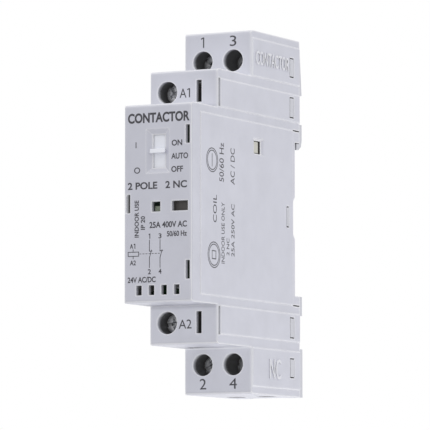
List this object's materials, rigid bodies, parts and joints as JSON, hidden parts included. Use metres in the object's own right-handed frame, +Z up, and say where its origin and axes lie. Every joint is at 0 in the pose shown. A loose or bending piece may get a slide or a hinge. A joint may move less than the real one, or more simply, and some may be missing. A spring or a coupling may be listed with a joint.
{
  "type": "din rail contactor",
  "caption": "One-module DIN rail contactor: stepped grey housing, three-position selector, status window, cage terminals and spring rail clip.",
  "frame": {"origin": "centre of the face that sits on the DIN rail, on the rail's centre line and at mid width", "axes": "+X to the right seen from the front, +Y back towards the rail, +Z up along the module"},
  "size_m": [0.0178, 0.0554, 0.0842],
  "materials": {
    "housing": "fine matt light grey",
    "base": "matt grey",
    "selector": "satin near-white",
    "dark": "matt dark grey",
    "carrier": "matt light grey",
    "bobbin": "matt black",
    "board": "green solder mask",
    "varistor": "blue epoxy",
    "lens": "milky green clear plastic",
    "led": "tinted epoxy",
    "steel": "zinc plated",
    "spring": "drawn wire",
    "iron": "ground laminations",
    "copper": "enamelled copper wire",
    "brass": "stamped sheet",
    "silver": "silver alloy contact"
  },
  "bodies": {
    "frame": {"housing": "housing", "rear_base": "base", "fixed_core": "iron", "coil_bobbin": "bobbin", "coil_winding": "copper", "coil_lead_upper": "copper", "coil_lead_lower": "copper", "circuit_board": "board", "bridge_rectifier": "bobbin", "varistor": "varistor", "status_led": "led", "light_guide": "lens", "selector_detent_spring": "spring", "rail_clip_spring": "spring", "return_spring_upper": "spring", "return_spring_lower": "spring", "fixed_contact_bar_1": "brass", "fixed_contact_bar_2": "brass", "fixed_contact_bar_3": "brass", "fixed_contact_bar_4": "brass", "fixed_tip_1": "silver", "fixed_tip_2": "silver", "fixed_tip_3": "silver", "fixed_tip_4": "silver", "coil_terminal_bar_A1": "brass", "coil_terminal_bar_A2": "brass"},
    "selector": {"selector_slider": "selector"},
    "carrier": {"contact_carrier": "carrier", "armature": "iron", "armature_pin": "steel", "contact_spring_left": "spring", "contact_spring_right": "spring"},
    "bridge_left": {"contact_bridge_left": "brass", "moving_tip_left_upper": "silver", "moving_tip_left_lower": "silver"},
    "bridge_right": {"contact_bridge_right": "brass", "moving_tip_right_upper": "silver", "moving_tip_right_lower": "silver"},
    "flag": {"status_flag": "dark"},
    "clip": {"rail_clip": "dark"},
    "screw_1": {"terminal_screw_1": "steel"},
    "cage_1": {"clamp_cage_1": "steel"},
    "screw_3": {"terminal_screw_3": "steel"},
    "cage_3": {"clamp_cage_3": "steel"},
    "screw_2": {"terminal_screw_2": "steel"},
    "cage_2": {"clamp_cage_2": "steel"},
    "screw_4": {"terminal_screw_4": "steel"},
    "cage_4": {"clamp_cage_4": "steel"},
    "screw_A1": {"terminal_screw_A1": "steel"},
    "cage_A1": {"clamp_cage_A1": "steel"},
    "screw_A2": {"terminal_screw_A2": "steel"},
    "cage_A2": {"clamp_cage_A2": "steel"}
  },
  "joints": [
    {"name": "selector_slide", "type": "slide", "parent": "frame", "child": "selector", "axis": [0, 0, 1], "range_m": [-0.0028, 0.0028], "deforming": ["selector_detent_spring"]},
    {"name": "armature_slide", "type": "slide", "parent": "frame", "child": "carrier", "axis": [0, -1, 0], "range_m": [0, 0.0025], "stiffness_N_per_m": 300, "springref_m": -0.003, "deforming": ["return_spring_upper", "return_spring_lower"]},
    {"name": "bridge_left_lift", "type": "slide", "parent": "carrier", "child": "bridge_left", "axis": [0, -1, 0], "range_m": [0, 0.0008], "stiffness_N_per_m": 60, "springref_m": -0.003, "deforming": ["contact_spring_left"]},
    {"name": "bridge_right_lift", "type": "slide", "parent": "carrier", "child": "bridge_right", "axis": [0, -1, 0], "range_m": [0, 0.0008], "stiffness_N_per_m": 60, "springref_m": -0.003, "deforming": ["contact_spring_right"]},
    {"name": "flag_slide", "type": "slide", "parent": "frame", "child": "flag", "axis": [0, 0, 1], "range_m": [0, 0.0025]},
    {"name": "rail_clip_slide", "type": "slide", "parent": "frame", "child": "clip", "axis": [0, 0, -1], "range_m": [0, 0.0035], "stiffness_N_per_m": 150, "springref_m": -0.002, "deforming": ["rail_clip_spring"]},
    {"name": "screw_1_turn", "type": "hinge", "parent": "frame", "child": "screw_1", "pos_m": [-0.00397, -0.01455, 0.03525], "axis": [0, 1, 0], "range_deg": [0, 1440.01]},
    {"name": "cage_1_rise", "type": "slide", "parent": "frame", "child": "cage_1", "axis": [0, -1, 0], "range_m": [0, 0.0024]},
    {"name": "screw_3_turn", "type": "hinge", "parent": "frame", "child": "screw_3", "pos_m": [0.00397, -0.01455, 0.03525], "axis": [0, 1, 0], "range_deg": [0, 1440.01]},
    {"name": "cage_3_rise", "type": "slide", "parent": "frame", "child": "cage_3", "axis": [0, -1, 0], "range_m": [0, 0.0024]},
    {"name": "screw_2_turn", "type": "hinge", "parent": "frame", "child": "screw_2", "pos_m": [-0.00397, -0.01455, -0.03525], "axis": [0, 1, 0], "range_deg": [0, 1440.01]},
    {"name": "cage_2_rise", "type": "slide", "parent": "frame", "child": "cage_2", "axis": [0, -1, 0], "range_m": [0, 0.0024]},
    {"name": "screw_4_turn", "type": "hinge", "parent": "frame", "child": "screw_4", "pos_m": [0.00397, -0.01455, -0.03525], "axis": [0, 1, 0], "range_deg": [0, 1440.01]},
    {"name": "cage_4_rise", "type": "slide", "parent": "frame", "child": "cage_4", "axis": [0, -1, 0], "range_m": [0, 0.0024]},
    {"name": "screw_A1_turn", "type": "hinge", "parent": "frame", "child": "screw_A1", "pos_m": [-0.0042, -0.03425, 0.0264], "axis": [0, 1, 0], "range_deg": [0, 1350.01]},
    {"name": "cage_A1_rise", "type": "slide", "parent": "frame", "child": "cage_A1", "axis": [0, -1, 0], "range_m": [0, 0.00187]},
    {"name": "screw_A2_turn", "type": "hinge", "parent": "frame", "child": "screw_A2", "pos_m": [-0.0042, -0.03425, -0.0264], "axis": [0, 1, 0], "range_deg": [0, 1350.01]},
    {"name": "cage_A2_rise", "type": "slide", "parent": "frame", "child": "cage_A2", "axis": [0, -1, 0], "range_m": [0, 0.00187]}
  ],
  "couplings": [
    {"joint": "flag_slide", "follows": "armature_slide", "ratio": 1},
    {"joint": "screw_1_turn", "follows": "cage_1_rise", "rad_per_m": 10472},
    {"joint": "screw_3_turn", "follows": "cage_3_rise", "rad_per_m": 10472},
    {"joint": "screw_2_turn", "follows": "cage_2_rise", "rad_per_m": 10472},
    {"joint": "screw_4_turn", "follows": "cage_4_rise", "rad_per_m": 10472},
    {"joint": "screw_A1_turn", "follows": "cage_A1_rise", "rad_per_m": 12566},
    {"joint": "screw_A2_turn", "follows": "cage_A2_rise", "rad_per_m": 12566}
  ]
}
